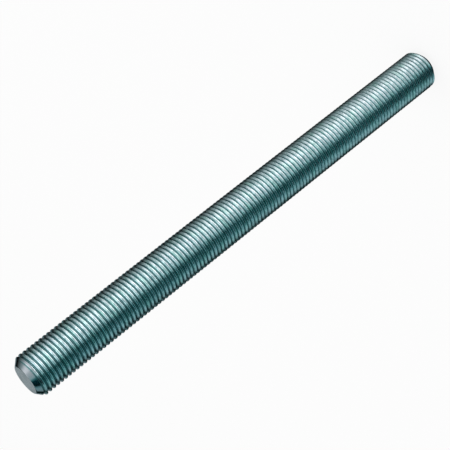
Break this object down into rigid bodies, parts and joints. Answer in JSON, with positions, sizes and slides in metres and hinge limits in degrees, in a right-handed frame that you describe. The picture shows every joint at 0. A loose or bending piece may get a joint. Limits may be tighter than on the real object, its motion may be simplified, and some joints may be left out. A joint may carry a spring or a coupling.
{
  "type": "threaded rod",
  "caption": "Straight steel rod with a right-hand metric fine thread from end to end, chamfered at both ends, bright zinc plated.",
  "frame": {"origin": "centre of the lower end face, on the surface that the rod stands on", "axes": "+Z along the rod's axis, from the lower end to the upper end"},
  "size_m": [0.012, 0.012, 0.15],
  "materials": {
    "zinc_plate": "bright zinc plate with a blue-green passivation, smooth on the flanks and turned at the ends"
  },
  "bodies": {
    "root": {"threaded_rod": "zinc_plate"}
  },
  "joints": []
}
